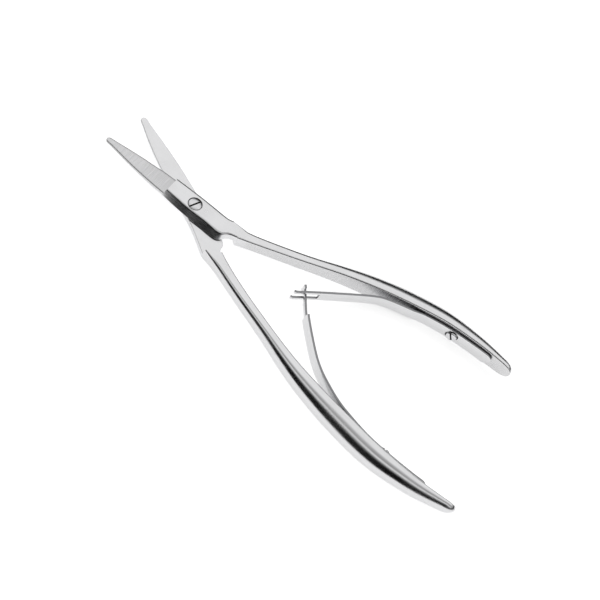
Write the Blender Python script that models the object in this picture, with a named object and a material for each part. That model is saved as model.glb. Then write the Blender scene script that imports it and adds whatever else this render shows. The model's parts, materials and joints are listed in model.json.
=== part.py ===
"""Spring-handled thread snips.

Two forged halves are lapped at a box joint and turn on one slotted pivot screw. Each half is
one forging: a short round-tipped blade, a half-thickness joint plate and a domed handle. Two
leaf springs, one screwed to the flat inside of each handle, hold the handles apart: the tongue
of one passes through the fork of the other.

The object lies flat. +Y runs from the handle ends to the blades, +Z is the side that shows the
pivot screw's head, and the origin is the middle of the footprint. Lengths below are in
millimetres and are scaled by MM where a mesh is made. Plan points are measured from DATUM.
"""

import math

import bmesh
import bpy
from mathutils import Matrix, Vector

MM = 0.001

# Joint: the middle of the lap between the plates, and the hinge axis beside it
DATUM = Vector((1.52, 36.79, 3.5))
JOINT_AXIS = Vector((0.35, 0.0, 0.0))
JOINT_HALF_HEIGHT = 2.2
LAP_GAP = 0.3

# Pivot screw and its holes
SCREW_HEAD_RADIUS = 1.88
SCREW_HEAD_BOTTOM = 1.25
SCREW_HEAD_TOP = 2.12
SCREW_SHANK_RADIUS = 1.25
SCREW_THREAD_RADIUS = 1.0
SCREW_END = -2.1
SCREW_STEP_Z = 0.0
SLOT_WIDTH = 0.5
SLOT_DEPTH = 0.4
SLOT_ANGLE = math.radians(-22.0)
HOLE_GAP = 0.25
HEAD_GAP = 0.2

# Blade outline in a half's own blade frame: the blade points along +Y from the datum at 0, 0.
# Each row is (y, back height, cutting edge height).
BLADE_ROWS = (
    (8.6, 1.45, 1.0),
    (12.5, 1.4, 1.0),
    (16.5, 1.3, 0.95),
    (20.5, 1.2, 0.95),
    (24.5, 1.1, 0.9),
    (28.0, 1.0, 0.85),
)
TIP_Y = 29.9
TIP_HEIGHTS = (0.95, 0.85)
TIP_END_WIDTH = 0.3

# Handle section along a handle that ends HANDLE_REACH behind the datum, scaled for a shorter one:
# (distance behind the datum, thickness, height, dome's reach across and down from the outer edge).
HANDLE_REACH = 103.9
HANDLE_ROWS = (
    (16.0, 3.7, 4.3, 1.0, 1.5),
    (22.0, 3.35, 4.2, 1.2, 1.7),
    (36.0, 3.25, 4.8, 1.5, 2.1),
    (45.0, 3.85, 5.6, 2.1, 2.6),
    (55.0, 4.75, 6.5, 2.9, 3.0),
    (66.0, 5.35, 7.0, 3.5, 3.3),
    (78.0, 5.25, 7.0, 3.5, 3.3),
    (88.0, 4.45, 6.6, 3.0, 3.1),
    (96.0, 3.55, 6.0, 2.4, 2.8),
    (104.0, 2.4, 5.2, 1.7, 2.4),
)
INNER_ROUNDING = 0.35
HANDLE_END_LENGTH = 4.0
SLIMMING_START = 80.0
CORNER_STEPS = 4
MIN_ROUNDING = 0.06
SIDE_SHARE = 0.7

# Each half in its own frame, where the handle leaves towards +X. blade_stretch is the blade's
# length against the rows above, back_edge and cutting_edge its x at each, and tip its (x, radius).
# plate holds the joint plate's outline in the blade frame: (y, outer x, inner x, how far the outer
# wall leans in). neck holds the ribs from the plate to the handle: (left x, left y, right x,
# right y, how far the left wall leans in, full height or not). end_slimming is how much thinner
# the handle's end is than in the rows above.
HALVES = {
    "upper_half": {
        "flip": False,
        "end_slimming": 0.0,
        "blade_angle": 0.0,
        "blade_stretch": 0.985,
        "back_edge": (-2.75, -2.55, -2.2, -1.75, -1.15, -0.55),
        "cutting_edge": (3.45, 3.3, 2.95, 2.6, 2.15, 1.7),
        "tip": (0.55, 0.9),
        "plate": (
            (8.3, -2.75, 3.45, 1.2), (4.0, -3.2, 3.55, 1.4), (0.0, -3.45, 3.6, 1.4), (-5.0, -3.45, 3.5, 1.5),
        ),
        "neck": (
            (-3.4, -10.3, 3.4, -8.0, 1.3, False),
            (-0.95, -12.6, 3.45, -9.6, 0.5, False),
            (0.1, -14.8, 3.85, -11.0, 0.2, False),
            (0.13, -14.87, 3.88, -11.07, 0.0, True),
        ),
        "inner_line": (
            (1.0, -17.0), (3.0, -22.0), (6.8, -31.5), (11.9, -44.0), (15.6, -55.0),
            (18.6, -66.0), (21.0, -77.0), (22.0, -88.0), (22.1, -96.0), (21.9, -100.9),
        ),
    },
    "lower_half": {
        "flip": True,
        "end_slimming": 0.6,
        "blade_angle": math.radians(27.7),
        "blade_stretch": 1.03,
        "back_edge": (-3.1, -2.8, -2.35, -1.8, -1.15, -0.55),
        "cutting_edge": (2.85, 2.85, 2.8, 2.6, 2.25, 1.8),
        "tip": (0.6, 1.0),
        "plate": (
            (8.3, -3.15, 2.8, 1.2), (4.0, -3.4, 2.7, 1.4), (0.0, -3.45, 2.6, 1.4), (-5.0, -3.55, 2.6, 1.5),
        ),
        "neck": (
            (2.4, -12.35, 7.2, -7.2, 1.1, False),
            (5.1, -13.4, 8.3, -8.8, 0.4, False),
            (6.5, -14.3, 9.3, -10.3, 0.2, False),
            (6.53, -14.37, 9.33, -10.37, 0.0, True),
        ),
        "inner_line": (
            (7.6, -16.6), (10.1, -22.3), (13.2, -30.4), (18.2, -45.0), (20.6, -54.5),
            (22.6, -66.0), (24.1, -77.0), (24.6, -89.0), (24.2, -97.5), (23.6, -103.9),
        ),
    },
}

# Leaf springs: plan routes of the free lengths, from the handle to the free end
SPRING_THICKNESS = 0.65
SPRING_SEAT_GAP = 0.15
SPRING_WIDTH = 4.4
SPRING_STEP_LENGTH = 0.25
SPRING_END_Y = -91.8
FORK_FREE = ((17.75, -66.5), (15.4, -59.2), (12.9, -54.6), (5.1, -44.8), (0.5, -39.3), (-1.6, -36.9),
             (-2.0, -36.0))
TONGUE_FREE = ((-22.45, -69.5), (-20.9, -63.6), (-18.8, -58.7), (-16.1, -53.9), (-12.3, -49.5),
               (-5.1, -42.8), (0.4, -38.9), (2.3, -37.4))
FORK_SLOT_WIDTH = 2.4
FORK_SLOT_BACK = (2.9, -42.1)
TONGUE_WIDTH = 1.5
TONGUE_SHOULDER_X = -5.7
TONGUE_HEAD_X = 1.3
TONGUE_HEAD_WIDTH = 2.9

# Raised countersunk spring screws: heights are measured from the handle's flat face
SPRING_SCREW_Y = -80.2
SPRING_SCREW_HEAD_RADIUS = 1.65
SPRING_SCREW_CONE_BOTTOM = 0.3
SPRING_SCREW_CONE_TOP = 0.88
SPRING_SCREW_TOP = 1.5
SPRING_SCREW_SLOT_DEPTH = 0.3
SPRING_SCREW_SHANK_RADIUS = 0.8
SPRING_SCREW_DEPTH = 2.4
SPRING_SCREW_GAP = 0.22

FORK_HINGE = (16.0, -61.2)
TONGUE_HINGE = (-21.0, -64.0)

STEEL = {
    "satin_steel": ((0.76, 0.76, 0.77, 1.0), 0.28),
    "spring_steel": ((0.68, 0.68, 0.69, 1.0), 0.22),
    "screw_steel": ((0.55, 0.55, 0.56, 1.0), 0.25),
}


def clear_scene():
    for item in list(bpy.data.objects):
        bpy.data.objects.remove(item, do_unlink=True)


def material(name):
    """A stainless steel finish by name, made once."""
    found = bpy.data.materials.get(name)
    if found:
        return found
    colour, roughness = STEEL[name]
    made = bpy.data.materials.new(name)
    made.use_nodes = True
    shader = made.node_tree.nodes["Principled BSDF"]
    shader.inputs["Base Color"].default_value = colour
    shader.inputs["Metallic"].default_value = 1.0
    shader.inputs["Roughness"].default_value = roughness
    return made


def smooth_rows(rows, steps):
    """Catmull-Rom curve through rows of equal length, with the given steps to each span."""
    rows = [tuple(row) for row in rows]
    first = tuple(2 * a - b for a, b in zip(rows[0], rows[1]))
    last = tuple(2 * a - b for a, b in zip(rows[-1], rows[-2]))
    points = [first] + rows + [last]
    result = []
    for index in range(1, len(points) - 2):
        around = points[index - 1:index + 3]
        for step in range(steps):
            t = step / steps
            weights = (
                (-t + 2 * t ** 2 - t ** 3) / 2,
                (2 - 5 * t ** 2 + 3 * t ** 3) / 2,
                (t + 4 * t ** 2 - 3 * t ** 3) / 2,
                (-t ** 2 + t ** 3) / 2,
            )
            result.append(tuple(sum(w * p[k] for w, p in zip(weights, around)) for k in range(len(rows[0]))))
    result.append(rows[-1])
    return result


def row_at(rows, position):
    """Linear reading of the columns of rows at a position in their first column."""
    for low, high in zip(rows, rows[1:]):
        if position <= high[0]:
            break
    t = min(1.0, max(0.0, (position - low[0]) / (high[0] - low[0])))
    return tuple(a + (b - a) * t for a, b in zip(low[1:], high[1:]))


def even(*roundings):
    return [(rounding, rounding) for rounding in roundings]


def rounded_section(corners, roundings):
    """Closed ring of (u, z) points round four corners. Each rounding is how far it reaches along
    the side before the corner and along the side after it."""
    ring = []
    for index, (corner, (back, front)) in enumerate(zip(corners, roundings)):
        here = Vector(corner)
        before = Vector(corners[index - 1]) - here
        after = Vector(corners[(index + 1) % 4]) - here
        start = here + before.normalized() * max(MIN_ROUNDING, min(back, SIDE_SHARE * before.length))
        end = here + after.normalized() * max(MIN_ROUNDING, min(front, SIDE_SHARE * after.length))
        centre = start + end - here
        for step in range(CORNER_STEPS + 1):
            angle = step / CORNER_STEPS * math.pi / 2
            ring.append(centre + (start - centre) * math.cos(angle) + (end - centre) * math.sin(angle))
    return ring


def rib_ring(rib):
    """World-oriented ring of one rib: left and right plan points, heights and roundings."""
    left, right = Vector(rib["left"]), Vector(rib["right"])
    width = (right - left).length
    along = (right - left) / width
    low, top_left, top_right = rib["bottom"], rib["top_left"], rib["top_right"]
    corners = ((0.0, low), (width, low), (width, top_right), (rib["lean"], top_left))
    ring = []
    for u, z in rounded_section(corners, rib["roundings"]):
        plan = left + along * u
        ring.append(Vector((plan.x, plan.y, z)))
    return ring


def loft(bm, rings):
    """Skin equal rings in order and cap both ends."""
    made = [[bm.verts.new(point) for point in ring] for ring in rings]
    for low, high in zip(made, made[1:]):
        for index in range(len(low)):
            after = (index + 1) % len(low)
            bm.faces.new((low[index], low[after], high[after], high[index]))
    bm.faces.new(list(reversed(made[0])))
    bm.faces.new(made[-1])


def finish_mesh(bm, name, finish, location=Vector((0.0, 0.0, 0.0)), smooth=True):
    """Turn a bmesh in millimetres, measured from the datum, into an object at location."""
    bmesh.ops.recalc_face_normals(bm, faces=bm.faces)
    bmesh.ops.translate(bm, verts=bm.verts, vec=-location)
    bmesh.ops.scale(bm, verts=bm.verts, vec=(MM, MM, MM))
    mesh = bpy.data.meshes.new(name)
    bm.to_mesh(mesh)
    bm.free()
    if smooth:
        mesh.shade_smooth()
        mesh.set_sharp_from_angle(angle=math.radians(35.0))
    item = bpy.data.objects.new(name, mesh)
    item.location = (DATUM + location) * MM
    item.data.materials.append(material(finish))
    bpy.context.collection.objects.link(item)
    return item


def hide_cutter(item):
    item.hide_render = True
    item.display_type = "WIRE"


def cut(item, cutter):
    """Subtract a cutter, which stays in the file as a hidden guide."""
    hide_cutter(cutter)
    modifier = item.modifiers.new(cutter.name, "BOOLEAN")
    modifier.operation = "DIFFERENCE"
    modifier.solver = "EXACT"
    modifier.object = cutter


def turned(name, profile, axis_frame, finish="screw_steel", segments=32):
    """Solid of revolution: profile rows are (radius, height) from one end to the other."""
    bm = bmesh.new()
    rings = []
    for radius, height in profile:
        ring = []
        for index in range(segments):
            angle = 2 * math.pi * index / segments
            ring.append(axis_frame @ Vector((radius * math.cos(angle), radius * math.sin(angle), height)))
        rings.append(ring)
    loft(bm, rings)
    return finish_mesh(bm, name, finish, axis_frame.translation)


def box_cutter(name, size, frame):
    bm = bmesh.new()
    bmesh.ops.create_cube(bm, size=1.0)
    bmesh.ops.scale(bm, verts=bm.verts, vec=size)
    bmesh.ops.transform(bm, matrix=frame, verts=bm.verts)
    return finish_mesh(bm, name, "screw_steel", frame.translation, smooth=False)


def blade_ribs(turn, half):
    """Ribs from the blade's tip to its foot, turned into the half's frame."""
    low = LAP_GAP / 2
    middle, radius = half["tip"]
    ribs = []
    first = math.asin(TIP_END_WIDTH / 2 / radius)
    for step in range(5):
        angle = first + (math.pi / 2 - first) * step / 4
        offset = radius * math.sin(angle)
        ribs.append((TIP_Y + radius * math.cos(angle), middle - offset, *TIP_HEIGHTS, middle + offset))
    rows = [
        (y, back_x, back, thin, edge)
        for (y, back, thin), back_x, edge in zip(BLADE_ROWS, half["back_edge"], half["cutting_edge"])
    ]
    ribs += reversed(smooth_rows(rows, 2))
    made = []
    for y, outer, back, thin, edge in ribs:
        made.append({
            "left": turn @ Vector((outer, y * half["blade_stretch"])),
            "right": turn @ Vector((edge, y * half["blade_stretch"])),
            "bottom": low,
            "top_left": back,
            "top_right": thin,
            "lean": 0.0,
            "roundings": even(0.0, 0.0, 0.0, 0.25),
        })
    return made


def plate_ribs(turn, half):
    """Ribs of the half-thickness joint plate and of the neck behind it."""
    low, high = LAP_GAP / 2, JOINT_HALF_HEIGHT
    made = []
    for y, outer, inner, lean in half["plate"]:
        made.append({
            "left": turn @ Vector((outer, y)),
            "right": turn @ Vector((inner, y)),
            "bottom": low,
            "top_left": high,
            "top_right": high,
            "lean": lean,
            "roundings": even(0.0, 0.0, 0.3, 0.3),
        })
    for left_x, left_y, right_x, right_y, lean, full in half["neck"]:
        made.append({
            "left": Vector((left_x, left_y)),
            "right": Vector((right_x, right_y)),
            "bottom": -high if full else low,
            "top_left": high,
            "top_right": high,
            "lean": lean,
            "roundings": even(0.3, 0.5, 0.5, 0.4) if full else even(0.0, 0.0, 0.4, 0.5),
        })
    return made


def inner_curve(half):
    return [Vector(point) for point in smooth_rows(half["inner_line"], 4)]


def tangent_at(points, index):
    low, high = max(0, index - 1), min(len(points) - 1, index + 1)
    return (points[high] - points[low]).normalized()


def handle_row(half, distance):
    thickness, height, across, down = row_at(HANDLE_ROWS, distance)
    slimmer = half["end_slimming"] * max(0.0, distance - SLIMMING_START) / (HANDLE_REACH - SLIMMING_START)
    return thickness - slimmer, height - slimmer, across - slimmer / 2, down - slimmer / 2


def handle_ribs(half):
    """Ribs of the handle: flat inside, domed outside, rounded end."""
    points = inner_curve(half)
    stretch = HANDLE_REACH / abs(points[-1].y)
    run = [0.0]
    for before, after in zip(points, points[1:]):
        run.append(run[-1] + (after - before).length)
    made = []
    for index, point in enumerate(points):
        if run[-1] - run[index] < HANDLE_END_LENGTH:
            break
        made.append(handle_rib(point, tangent_at(points, index), *handle_row(half, -point.y * stretch)))
    heading = tangent_at(points, len(points) - 1)
    end = points[-1] - heading * HANDLE_END_LENGTH
    thickness, height, across, down = handle_row(half, -end.y * stretch)
    for step in range(6):
        reach = math.sin(step / 5 * math.radians(80.0))
        shrink = math.sqrt(1 - reach ** 2)
        made.append(handle_rib(
            end + heading * HANDLE_END_LENGTH * reach, heading,
            thickness * (0.25 + 0.75 * shrink), height * (0.15 + 0.85 * shrink),
            across * shrink, down * shrink,
        ))
    return made


def handle_rib(point, heading, thickness, height, across, down):
    outward = Vector((-heading.y, heading.x))
    return {
        "left": point,
        "right": point + outward * thickness,
        "bottom": -height / 2,
        "top_left": height / 2,
        "top_right": height / 2,
        "lean": 0.0,
        "roundings": (*even(INNER_ROUNDING), (across, down), (down, across), *even(INNER_ROUNDING)),
    }


def make_half(name):
    half = HALVES[name]
    turn = Matrix.Rotation(half["blade_angle"], 2)
    ribs = blade_ribs(turn, half) + plate_ribs(turn, half) + handle_ribs(half)
    rings = [rib_ring(rib) for rib in ribs]
    if half["flip"]:
        rings = [[Vector((-p.x, p.y, -p.z)) for p in ring] for ring in rings]
    bm = bmesh.new()
    loft(bm, rings)
    return finish_mesh(bm, name, "satin_steel", JOINT_AXIS)


def offset_inner(name, distance):
    """Plan curve lying a distance inside the flat face of a handle, in world directions."""
    half = HALVES[name]
    points = inner_curve(half)
    side = -1.0 if half["flip"] else 1.0
    made = []
    for index, point in enumerate(points):
        heading = tangent_at(points, index)
        moved = point - Vector((-heading.y, heading.x)) * distance
        made.append(Vector((side * moved.x, moved.y)))
    return made


def point_at_y(points, y):
    for before, after in zip(points, points[1:]):
        if after.y <= y:
            t = (y - before.y) / (after.y - before.y)
            return before.lerp(after, t), (after - before).normalized()
    raise ValueError("the curve does not reach that far back")


def spring_route(name, free):
    """Plan route of a leaf spring from its rear end to its free end."""
    seat = offset_inner(name, SPRING_SEAT_GAP + SPRING_THICKNESS / 2)
    rear, _ = point_at_y(seat, SPRING_END_Y)
    held = [rear]
    held += [point for point in reversed(seat) if SPRING_END_Y + 1.0 < point.y < free[0][1] - 3.0]
    return held, [Vector(point) for point in smooth_rows(free, 4)]


def spring_ring(point, heading, width=SPRING_WIDTH):
    across = Vector((-heading.y, heading.x)) * SPRING_THICKNESS / 2
    near, far = point - across, point + across
    low, high = -width / 2, width / 2
    return [
        Vector((near.x, near.y, low)), Vector((far.x, far.y, low)),
        Vector((far.x, far.y, high)), Vector((near.x, near.y, high)),
    ]


def make_spring(name, half_name, free, hinge, tongue):
    held, loose = spring_route(half_name, free)
    points = held + loose
    rings = []
    heading = tangent_at(points, 0)
    for step in range(4):
        reach = math.sin((3 - step) / 3 * math.radians(75.0))
        width = SPRING_WIDTH * math.sqrt(1 - reach ** 2)
        rings.append(spring_ring(points[0] - heading * SPRING_WIDTH / 2 * reach, heading, width))
    width = SPRING_WIDTH
    for index, point in enumerate(points[1:], start=1):
        heading = tangent_at(points, index)
        wanted = SPRING_WIDTH
        if tongue and point.x > TONGUE_SHOULDER_X:
            wanted = TONGUE_HEAD_WIDTH if point.x > TONGUE_HEAD_X else TONGUE_WIDTH
        if wanted != width:
            rings.append(spring_ring(point - heading * SPRING_STEP_LENGTH, heading, width))
            width = wanted
        rings.append(spring_ring(point, heading, width))
    bm = bmesh.new()
    loft(bm, rings)
    return finish_mesh(bm, name, "spring_steel", Vector((*hinge, 0.0)))


def screw_frame(half_name):
    """Frame of a spring screw: origin on the handle's flat face, +Z out of the face."""
    face = offset_inner(half_name, 0.0)
    point, heading = point_at_y(face, SPRING_SCREW_Y)
    inward = Vector((heading.y, -heading.x))
    if HALVES[half_name]["flip"]:
        inward = -inward
    z_axis = Vector((inward.x, inward.y, 0.0))
    x_axis = Vector((0.0, 0.0, 1.0))
    y_axis = z_axis.cross(x_axis)
    frame = Matrix((x_axis, y_axis, z_axis)).transposed().to_4x4()
    frame.translation = Vector((point.x, point.y, 0.0))
    return frame


def make_spring_screw(name, half_name, half, spring, slot_turn):
    frame = screw_frame(half_name)
    top = SPRING_SCREW_TOP
    head, shank = SPRING_SCREW_HEAD_RADIUS, SPRING_SCREW_SHANK_RADIUS
    screw = turned(name, (
        (shank * 0.7, -SPRING_SCREW_DEPTH), (shank, -SPRING_SCREW_DEPTH + 0.3),
        (shank, SPRING_SCREW_CONE_BOTTOM), (head, SPRING_SCREW_CONE_TOP), (head, top - 0.15),
        (head - 0.15, top),
    ), frame)
    slot_frame = frame @ Matrix.Translation((0.0, 0.0, top)) @ Matrix.Rotation(slot_turn, 4, "Z")
    cut(screw, box_cutter(name + "_slot", (4.0, SLOT_WIDTH, SPRING_SCREW_SLOT_DEPTH * 2), slot_frame))
    bore, sink = shank + SPRING_SCREW_GAP, head + SPRING_SCREW_GAP
    hole = turned(name + "_bore", (
        (bore, -SPRING_SCREW_DEPTH - 0.4), (bore, SPRING_SCREW_CONE_BOTTOM - 0.1),
        (sink, SPRING_SCREW_CONE_TOP - 0.1), (sink, top),
    ), frame)
    cut(half, hole)
    cut(spring, hole)
    screw.parent = half
    screw.matrix_parent_inverse = Matrix.Translation(-half.location)
    return screw


def make_pivot_screw(upper, lower):
    frame = Matrix.Translation(JOINT_AXIS)
    screw = turned("pivot_screw", (
        (SCREW_THREAD_RADIUS - 0.2, SCREW_END), (SCREW_THREAD_RADIUS, SCREW_END + 0.2),
        (SCREW_THREAD_RADIUS, SCREW_STEP_Z), (SCREW_SHANK_RADIUS, SCREW_STEP_Z),
        (SCREW_SHANK_RADIUS, SCREW_HEAD_BOTTOM), (SCREW_HEAD_RADIUS, SCREW_HEAD_BOTTOM),
        (SCREW_HEAD_RADIUS, SCREW_HEAD_TOP - 0.1), (SCREW_HEAD_RADIUS - 0.1, SCREW_HEAD_TOP),
    ), frame)
    slot_frame = frame @ Matrix.Translation((0.0, 0.0, SCREW_HEAD_TOP))
    slot_frame = slot_frame @ Matrix.Rotation(SLOT_ANGLE, 4, "Z")
    cut(screw, box_cutter("pivot_screw_slot", (5.0, SLOT_WIDTH, SLOT_DEPTH * 2), slot_frame))
    reach = JOINT_HALF_HEIGHT + 1.0
    seat, bore = SCREW_HEAD_RADIUS + HEAD_GAP, SCREW_SHANK_RADIUS + HOLE_GAP
    step = SCREW_HEAD_BOTTOM - HOLE_GAP
    cut(upper, turned("pivot_seat", ((bore, -0.1), (bore, step), (seat, step), (seat, reach)), frame))
    tapped = SCREW_THREAD_RADIUS + HOLE_GAP
    cut(lower, turned("pivot_tapped_hole", ((tapped, -reach), (tapped, 0.1)), frame))
    screw.parent = lower
    screw.matrix_parent_inverse = Matrix.Translation(-lower.location)
    return screw


def cut_fork(spring):
    """Open the free end of the fork spring into two prongs."""
    back = Vector(FORK_SLOT_BACK)
    front = Vector(FORK_FREE[-2])
    heading = (front - back).normalized()
    middle = back + heading * 6.0
    frame = Matrix.Translation((middle.x, middle.y, 0.0))
    frame = frame @ Matrix.Rotation(math.atan2(heading.y, heading.x), 4, "Z")
    cut(spring, box_cutter("fork_slot", (12.0, 6.0, FORK_SLOT_WIDTH), frame))


def main():
    clear_scene()
    upper = make_half("upper_half")
    lower = make_half("lower_half")
    fork = make_spring("fork_spring", "upper_half", FORK_FREE, FORK_HINGE, tongue=False)
    tongue = make_spring("tongue_spring", "lower_half", TONGUE_FREE, TONGUE_HINGE, tongue=True)
    cut_fork(fork)
    make_pivot_screw(upper, lower)
    make_spring_screw("upper_spring_screw", "upper_half", upper, fork, math.radians(35.0))
    make_spring_screw("lower_spring_screw", "lower_half", lower, tongue, math.radians(-15.0))


main()
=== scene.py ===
"""Thread snips: two lapped forged halves, two interlocking leaf springs and three slotted screws.

Plan lengths are in millimetres from the middle of the lap between the joint plates, with +Y towards
the blades and +Z up. Settings are in metres. Every piece is finished in world coordinates.
"""

import json
import math

import bmesh
import bpy
from mathutils import Matrix, Vector

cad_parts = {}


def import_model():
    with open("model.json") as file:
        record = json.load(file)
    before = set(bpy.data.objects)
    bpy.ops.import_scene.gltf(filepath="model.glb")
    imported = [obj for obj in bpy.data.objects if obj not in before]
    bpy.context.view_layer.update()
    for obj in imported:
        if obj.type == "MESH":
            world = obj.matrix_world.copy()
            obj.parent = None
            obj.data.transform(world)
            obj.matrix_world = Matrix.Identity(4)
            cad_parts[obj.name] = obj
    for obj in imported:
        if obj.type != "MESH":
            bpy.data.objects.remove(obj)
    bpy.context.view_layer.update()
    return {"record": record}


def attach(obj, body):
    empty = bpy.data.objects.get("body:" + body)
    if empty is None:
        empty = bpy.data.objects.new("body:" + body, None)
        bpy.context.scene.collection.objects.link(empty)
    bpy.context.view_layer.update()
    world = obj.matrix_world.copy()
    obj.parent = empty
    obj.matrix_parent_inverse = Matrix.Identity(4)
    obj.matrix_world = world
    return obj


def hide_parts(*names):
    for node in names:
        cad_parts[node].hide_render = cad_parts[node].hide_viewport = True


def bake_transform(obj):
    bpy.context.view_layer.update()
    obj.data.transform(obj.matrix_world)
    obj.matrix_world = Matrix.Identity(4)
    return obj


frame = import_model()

bl_info = {
    "name": "Thread Snips",
    "version": (1, 0, 0),
    "blender": (4, 5, 0),
    "location": "View3D > Sidebar > Thread Snips",
    "description": "Builds a pair of spring-handled thread snips, piece by piece",
    "category": "Add Mesh",
}

MM = 0.001
JOINTS = {joint["name"]: joint for joint in frame["record"]["behaviour"]["joints"]}
JOINT_OFFSET = Vector((0.35, 0.0, 0.0))
PIVOT = Vector(JOINTS["pivot"]["pos_m"]) / MM
DATUM = PIVOT - JOINT_OFFSET

# Blade rows: (y, back height, cutting edge height), heights above the lap's middle. The tip is an arc
# that starts just off the blade's line, so that its first rib has a width.
BLADE_ROWS = (
    (8.6, 1.45, 1.0),
    (12.5, 1.4, 1.0),
    (16.5, 1.3, 0.95),
    (20.5, 1.2, 0.95),
    (24.5, 1.1, 0.9),
    (28.0, 1.0, 0.85),
)
TIP_Y = 29.9
TIP_HEIGHTS = (0.95, 0.85)
TIP_START = 4.0
ARC_STEPS = 16
ARC_DEGREES = 86.0
JOINT_HALF_HEIGHT = 2.2
HALF_LAP = 0.15

# Handle section: (distance behind the datum, thickness, height, dome's reach across and down)
HANDLE_REACH = 103.9
HANDLE_ROWS = (
    (16.0, 3.7, 4.3, 1.0, 1.5),
    (22.0, 3.35, 4.2, 1.2, 1.7),
    (36.0, 3.25, 4.8, 1.5, 2.1),
    (45.0, 3.85, 5.6, 2.1, 2.6),
    (55.0, 4.75, 6.5, 2.9, 3.0),
    (66.0, 5.35, 7.0, 3.5, 3.3),
    (78.0, 5.25, 7.0, 3.5, 3.3),
    (88.0, 4.45, 6.6, 3.0, 3.1),
    (96.0, 3.55, 6.0, 2.4, 2.8),
    (104.0, 2.4, 5.2, 1.7, 2.4),
)
HANDLE_END_LENGTH = 4.0
SLIMMING_START = 80.0

# Each half in its own frame, where the handle leaves towards +X. plate rows are (y, outer x,
# inner x, lean of the outer wall) and neck rows (left x, left y, right x, right y, lean, full height).
HALVES = {
    "upper_half": {
        "flip": False,
        "end_slimming": 0.0,
        "body": "upper",
        "blade_angle": 0.0,
        "blade_stretch": 0.985,
        "back_edge": (-2.75, -2.55, -2.2, -1.75, -1.15, -0.55),
        "cutting_edge": (3.45, 3.3, 2.95, 2.6, 2.15, 1.7),
        "tip": (0.55, 0.9),
        "plate": (
            (8.3, -2.75, 3.45, 1.2), (4.0, -3.2, 3.55, 1.4), (0.0, -3.45, 3.6, 1.4), (-5.0, -3.45, 3.5, 1.5),
        ),
        "neck": (
            (-3.4, -10.3, 3.4, -8.0, 1.3, False),
            (-0.95, -12.6, 3.45, -9.6, 0.5, False),
            (0.1, -14.8, 3.85, -11.0, 0.2, False),
            (0.13, -14.87, 3.88, -11.07, 0.0, True),
        ),
        "inner_line": (
            (1.0, -17.0), (3.0, -22.0), (6.8, -31.5), (11.9, -44.0), (15.6, -55.0),
            (18.6, -66.0), (21.0, -77.0), (22.0, -88.0), (22.1, -96.0), (21.9, -100.9),
        ),
    },
    "lower_half": {
        "flip": True,
        "end_slimming": 0.6,
        "body": "lower",
        "blade_angle": math.radians(27.7),
        "blade_stretch": 1.03,
        "back_edge": (-3.1, -2.8, -2.35, -1.8, -1.15, -0.55),
        "cutting_edge": (2.85, 2.85, 2.8, 2.6, 2.25, 1.8),
        "tip": (0.6, 1.0),
        "plate": (
            (8.3, -3.15, 2.8, 1.2), (4.0, -3.4, 2.7, 1.4), (0.0, -3.45, 2.6, 1.4), (-5.0, -3.55, 2.6, 1.5),
        ),
        "neck": (
            (2.4, -12.35, 7.2, -7.2, 1.1, False),
            (5.1, -13.4, 8.3, -8.8, 0.4, False),
            (6.5, -14.3, 9.3, -10.3, 0.2, False),
            (6.53, -14.37, 9.33, -10.37, 0.0, True),
        ),
        "inner_line": (
            (7.6, -16.6), (10.1, -22.3), (13.2, -30.4), (18.2, -45.0), (20.6, -54.5),
            (22.6, -66.0), (24.1, -77.0), (24.6, -89.0), (24.2, -97.5), (23.6, -103.9),
        ),
    },
}

# Leaf springs: plan routes of the free lengths from the handle to the free end, and where the
# bending starts and ends
SEAT_GAP = 0.15
SPRING_END_Y = -91.8
FORK_FREE = ((17.75, -66.5), (15.4, -59.2), (12.9, -54.6), (5.1, -44.8), (0.5, -39.3), (-1.6, -36.9),
             (-2.0, -36.0))
TONGUE_FREE = ((-22.45, -69.5), (-20.9, -63.6), (-18.8, -58.7), (-16.1, -53.9), (-12.3, -49.5),
               (-5.1, -42.8), (0.4, -38.9), (2.3, -37.4))
FORK_SLOT_BACK = (2.9, -42.1)
FORK_SLOT_LENGTH = 12.0
TONGUE_SHOULDER_X = -5.7
TONGUE_HEAD_X = 1.3
SHOULDER_STEP = 0.12
SPRING_END_STEPS = 12
SPRING_END_DEGREES = 80.0

SPRING_SCREW_Y = -80.2
SPRING_SCREWS = {
    "upper_spring_screw": ("upper_half", math.radians(35.0)),
    "lower_spring_screw": ("lower_half", math.radians(-15.0)),
}

# Rounded corners of a rib: points on each, the smallest rounding, the largest share of a side that one
# rounding takes, and the short flat either side that keeps the flats flat when they are shaded smooth
CORNER_STEPS = 8
CORNER_POINTS = CORNER_STEPS + 3
SMALLEST_ROUNDING = 0.06
SIDE_SHARE = 0.7
FLAT_MARGIN = 0.04

# Roundings of a rib's corners: bottom left, bottom right, top right and top left, each (before, after)
# going round that way
BLADE_ROUNDINGS = ((0.1, 0.1), (0.2, 0.2), (0.15, 0.4), (0.4, 0.4))
PLATE_ROUNDINGS = ((0.1, 0.1), (0.15, 0.15), (0.3, 0.8))
NECK_ROUNDINGS = ((0.3, 0.3), (0.5, 0.5), (0.5, 0.5))

# Screws: tops of the heads, the pivot slot's direction, and the gaps round the heads
PIVOT_HEAD_TOP = 2.15
PIVOT_SLOT_TURN = math.radians(-22.0)
SPRING_HEAD_TOP = 1.58
PIVOT_SEAT_GAP = 0.2
SPRING_BORE_GAP = 0.38

TURNED_SEGMENTS = 96
SHARP_ANGLE = math.radians(35.0)
FLOOR_HALF_SIZE = 3.0
FLOOR_DROP = 0.0002

# Camera: where it stands and its own axes
CAMERA_PLACE = (-114.115, 1.616, 180.011)
CAMERA_AXES = (
    (0.50944, -0.78866, 0.34420),
    (0.66881, 0.61459, 0.41830),
    (-0.54144, 0.01711, 0.84057),
)
LENS_MM = 45.80

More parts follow.
